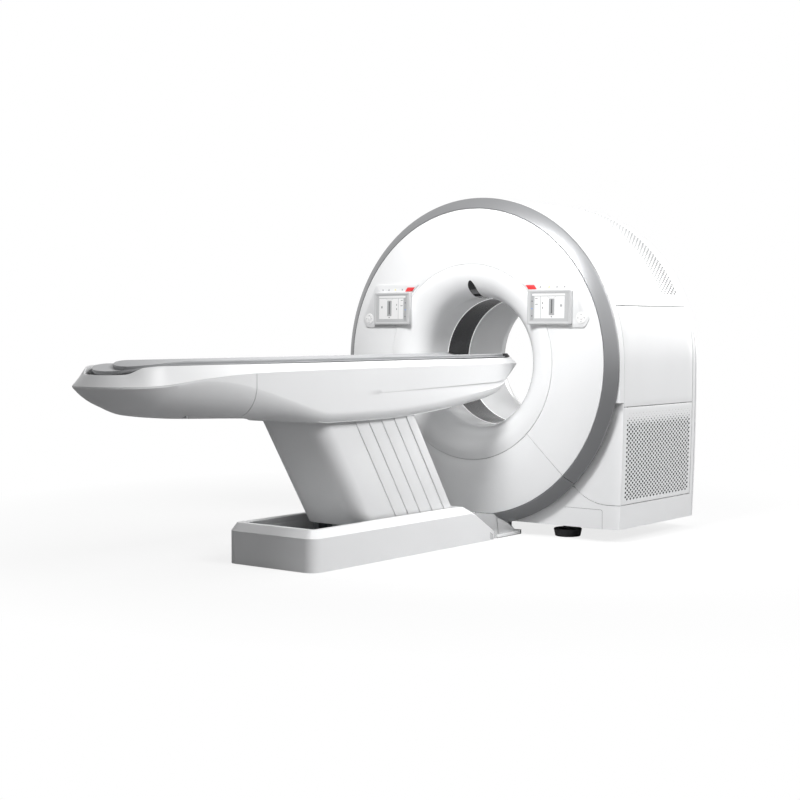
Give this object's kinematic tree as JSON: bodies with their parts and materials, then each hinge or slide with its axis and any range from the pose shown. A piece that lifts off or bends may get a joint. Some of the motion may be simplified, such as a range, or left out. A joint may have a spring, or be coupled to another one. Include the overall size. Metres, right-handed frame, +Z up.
{
  "type": "computed tomography scanner",
  "caption": "Medical tomography scanner: round gantry with a spinning rotor behind its covers, and a patient table whose cradle slides into the bore on a leaning lift column.",
  "frame": {"origin": "on the floor, at the centre of the gantry's four anchor holes", "axes": "+Z up, +Y from the patient table into the gantry along the bore, +X to the right of someone facing the gantry from the table"},
  "size_m": [1.774, 3.612, 1.812],
  "materials": {
    "frame_steel": "satin",
    "foot_iron": "matte",
    "motor_black": "satin",
    "belt_rubber": "matte",
    "cover_white": "satin",
    "ring_silver": "satin metallic",
    "front_white": "satin",
    "band_bright": "glossy",
    "window_dark": "glossy, dark",
    "liner_grey": "satin",
    "laser_black": "glossy",
    "pad_grey": "satin membrane",
    "display_case": "satin",
    "display_glass": "glossy screen",
    "stop_red": "satin",
    "key_white": "satin",
    "rotor_metal": "machined",
    "slip_copper": "polished",
    "module_metal": "satin",
    "detector_dark": "satin",
    "pulley_steel": "turned",
    "table_white": "satin",
    "bridge_smoke": "smoky, translucent",
    "link_metal": "cast",
    "table_metal": "extruded",
    "cradle_light": "satin laminate",
    "cradle_pale": "matte laminate",
    "tip_black": "matte"
  },
  "bodies": {
    "base": {"gantry_frame": "frame_steel", "levelling_feet": "foot_iron", "stator_plate": "frame_steel", "drive_motor": "motor_black", "drive_belt": "belt_rubber", "cover_hoops": "frame_steel", "dome_cover": "cover_white", "side_panels": "cover_white", "vent_grilles": "cover_white", "front_corners": "cover_white", "skirt": "cover_white", "rear_cover": "cover_white", "trim_ring_upper": "ring_silver", "trim_ring_lower": "ring_silver", "front_cover_upper": "front_white", "front_cover_lower": "front_white", "front_flare": "front_white", "window_bands": "band_bright", "scan_window": "window_dark", "bore_liner": "liner_grey", "rear_flare": "front_white", "laser_window": "laser_black", "control_pad_right": "pad_grey", "control_pad_left": "pad_grey", "display_right": "display_case", "display_left": "display_case", "display_glasses": "display_glass", "table_base_frame": "frame_steel", "table_base_cover": "table_white", "bridge_cover": "bridge_smoke", "bridge_sill": "table_white", "lift_gearmotor": "motor_black"},
    "rotor": {"rotor_drum": "rotor_metal", "slip_ring": "slip_copper", "xray_tube": "module_metal", "hv_generator": "module_metal", "collimator": "module_metal", "detector_arc": "detector_dark", "heat_exchanger": "module_metal"},
    "drive_pulley": {"drive_pulley": "pulley_steel"},
    "main_link": {"main_link": "link_metal", "near_column_cover": "table_white"},
    "second_link": {"second_link": "link_metal", "far_column_cover": "table_white"},
    "slat_1": {"slat_1": "table_white"},
    "slat_2": {"slat_2": "table_white"},
    "slat_3": {"slat_3": "table_white"},
    "slat_4": {"slat_4": "table_white"},
    "table_top": {"table_frame": "table_metal", "hull_shell": "table_white", "foot_end_cover": "table_white", "top_cover": "table_white", "cradle_drive": "motor_black"},
    "cradle": {"cradle_board": "cradle_light", "cradle_top": "cradle_pale", "cradle_tip": "tip_black"},
    "stop_key_right": {"stop_key_right": "stop_red"},
    "stop_key_left": {"stop_key_left": "stop_red"},
    "jog_key_right": {"jog_key_right": "key_white"},
    "jog_key_left": {"jog_key_left": "key_white"}
  },
  "joints": [
    {"name": "rotor_spin", "type": "hinge", "parent": "base", "child": "rotor", "pos_m": [0, 0.15, 0.925], "axis": [0, 1, 0], "continuous": true},
    {"name": "pulley_spin", "type": "hinge", "parent": "base", "child": "drive_pulley", "pos_m": [0.54969, 0, 0.33553], "axis": [0, 1, 0], "continuous": true},
    {"name": "table_lift", "type": "hinge", "parent": "base", "child": "main_link", "pos_m": [0, -1.025, 0.13], "axis": [-1, 0, 0], "range_deg": [-37, 0]},
    {"name": "second_link_swing", "type": "hinge", "parent": "base", "child": "second_link", "pos_m": [0, -1.465, 0.13], "axis": [-1, 0, 0], "range_deg": [-37, 0]},
    {"name": "slat_1_swing", "type": "hinge", "parent": "base", "child": "slat_1", "pos_m": [0, -1.2855, 0.13], "axis": [-1, 0, 0], "range_deg": [-37, 0]},
    {"name": "slat_2_swing", "type": "hinge", "parent": "base", "child": "slat_2", "pos_m": [0, -1.1915, 0.13], "axis": [-1, 0, 0], "range_deg": [-37, 0]},
    {"name": "slat_3_swing", "type": "hinge", "parent": "base", "child": "slat_3", "pos_m": [0, -1.0975, 0.13], "axis": [-1, 0, 0], "range_deg": [-37, 0]},
    {"name": "slat_4_swing", "type": "hinge", "parent": "base", "child": "slat_4", "pos_m": [0, -1.0035, 0.13], "axis": [-1, 0, 0], "range_deg": [-37, 0]},
    {"name": "table_level", "type": "hinge", "parent": "main_link", "child": "table_top", "pos_m": [0, -1.41442, 0.72965], "axis": [-1, 0, 0], "range_deg": [0, 37]},
    {"name": "cradle_slide", "type": "slide", "parent": "table_top", "child": "cradle", "axis": [0, 1, 0], "range_m": [0, 1.6]},
    {"name": "stop_press_right", "type": "slide", "parent": "base", "child": "stop_key_right", "axis": [-0.0496, 0.9984, -0.0278], "range_m": [0, 0.0015], "stiffness_N_per_m": 600},
    {"name": "jog_press_right", "type": "slide", "parent": "base", "child": "jog_key_right", "axis": [-0.0496, 0.9984, -0.0278], "range_m": [0, 0.0015], "stiffness_N_per_m": 400},
    {"name": "stop_press_left", "type": "slide", "parent": "base", "child": "stop_key_left", "axis": [0.0496, 0.9984, -0.0278], "range_m": [0, 0.0015], "stiffness_N_per_m": 600},
    {"name": "jog_press_left", "type": "slide", "parent": "base", "child": "jog_key_left", "axis": [0.0496, 0.9984, -0.0278], "range_m": [0, 0.0015], "stiffness_N_per_m": 400}
  ],
  "couplings": [
    {"joint": "pulley_spin", "follows": "rotor_spin", "ratio": 13.352},
    {"joint": "second_link_swing", "follows": "table_lift", "ratio": 1},
    {"joint": "slat_1_swing", "follows": "table_lift", "ratio": 1},
    {"joint": "slat_2_swing", "follows": "table_lift", "ratio": 1},
    {"joint": "slat_3_swing", "follows": "table_lift", "ratio": 1},
    {"joint": "slat_4_swing", "follows": "table_lift", "ratio": 1},
    {"joint": "table_level", "follows": "table_lift", "ratio": -1}
  ]
}
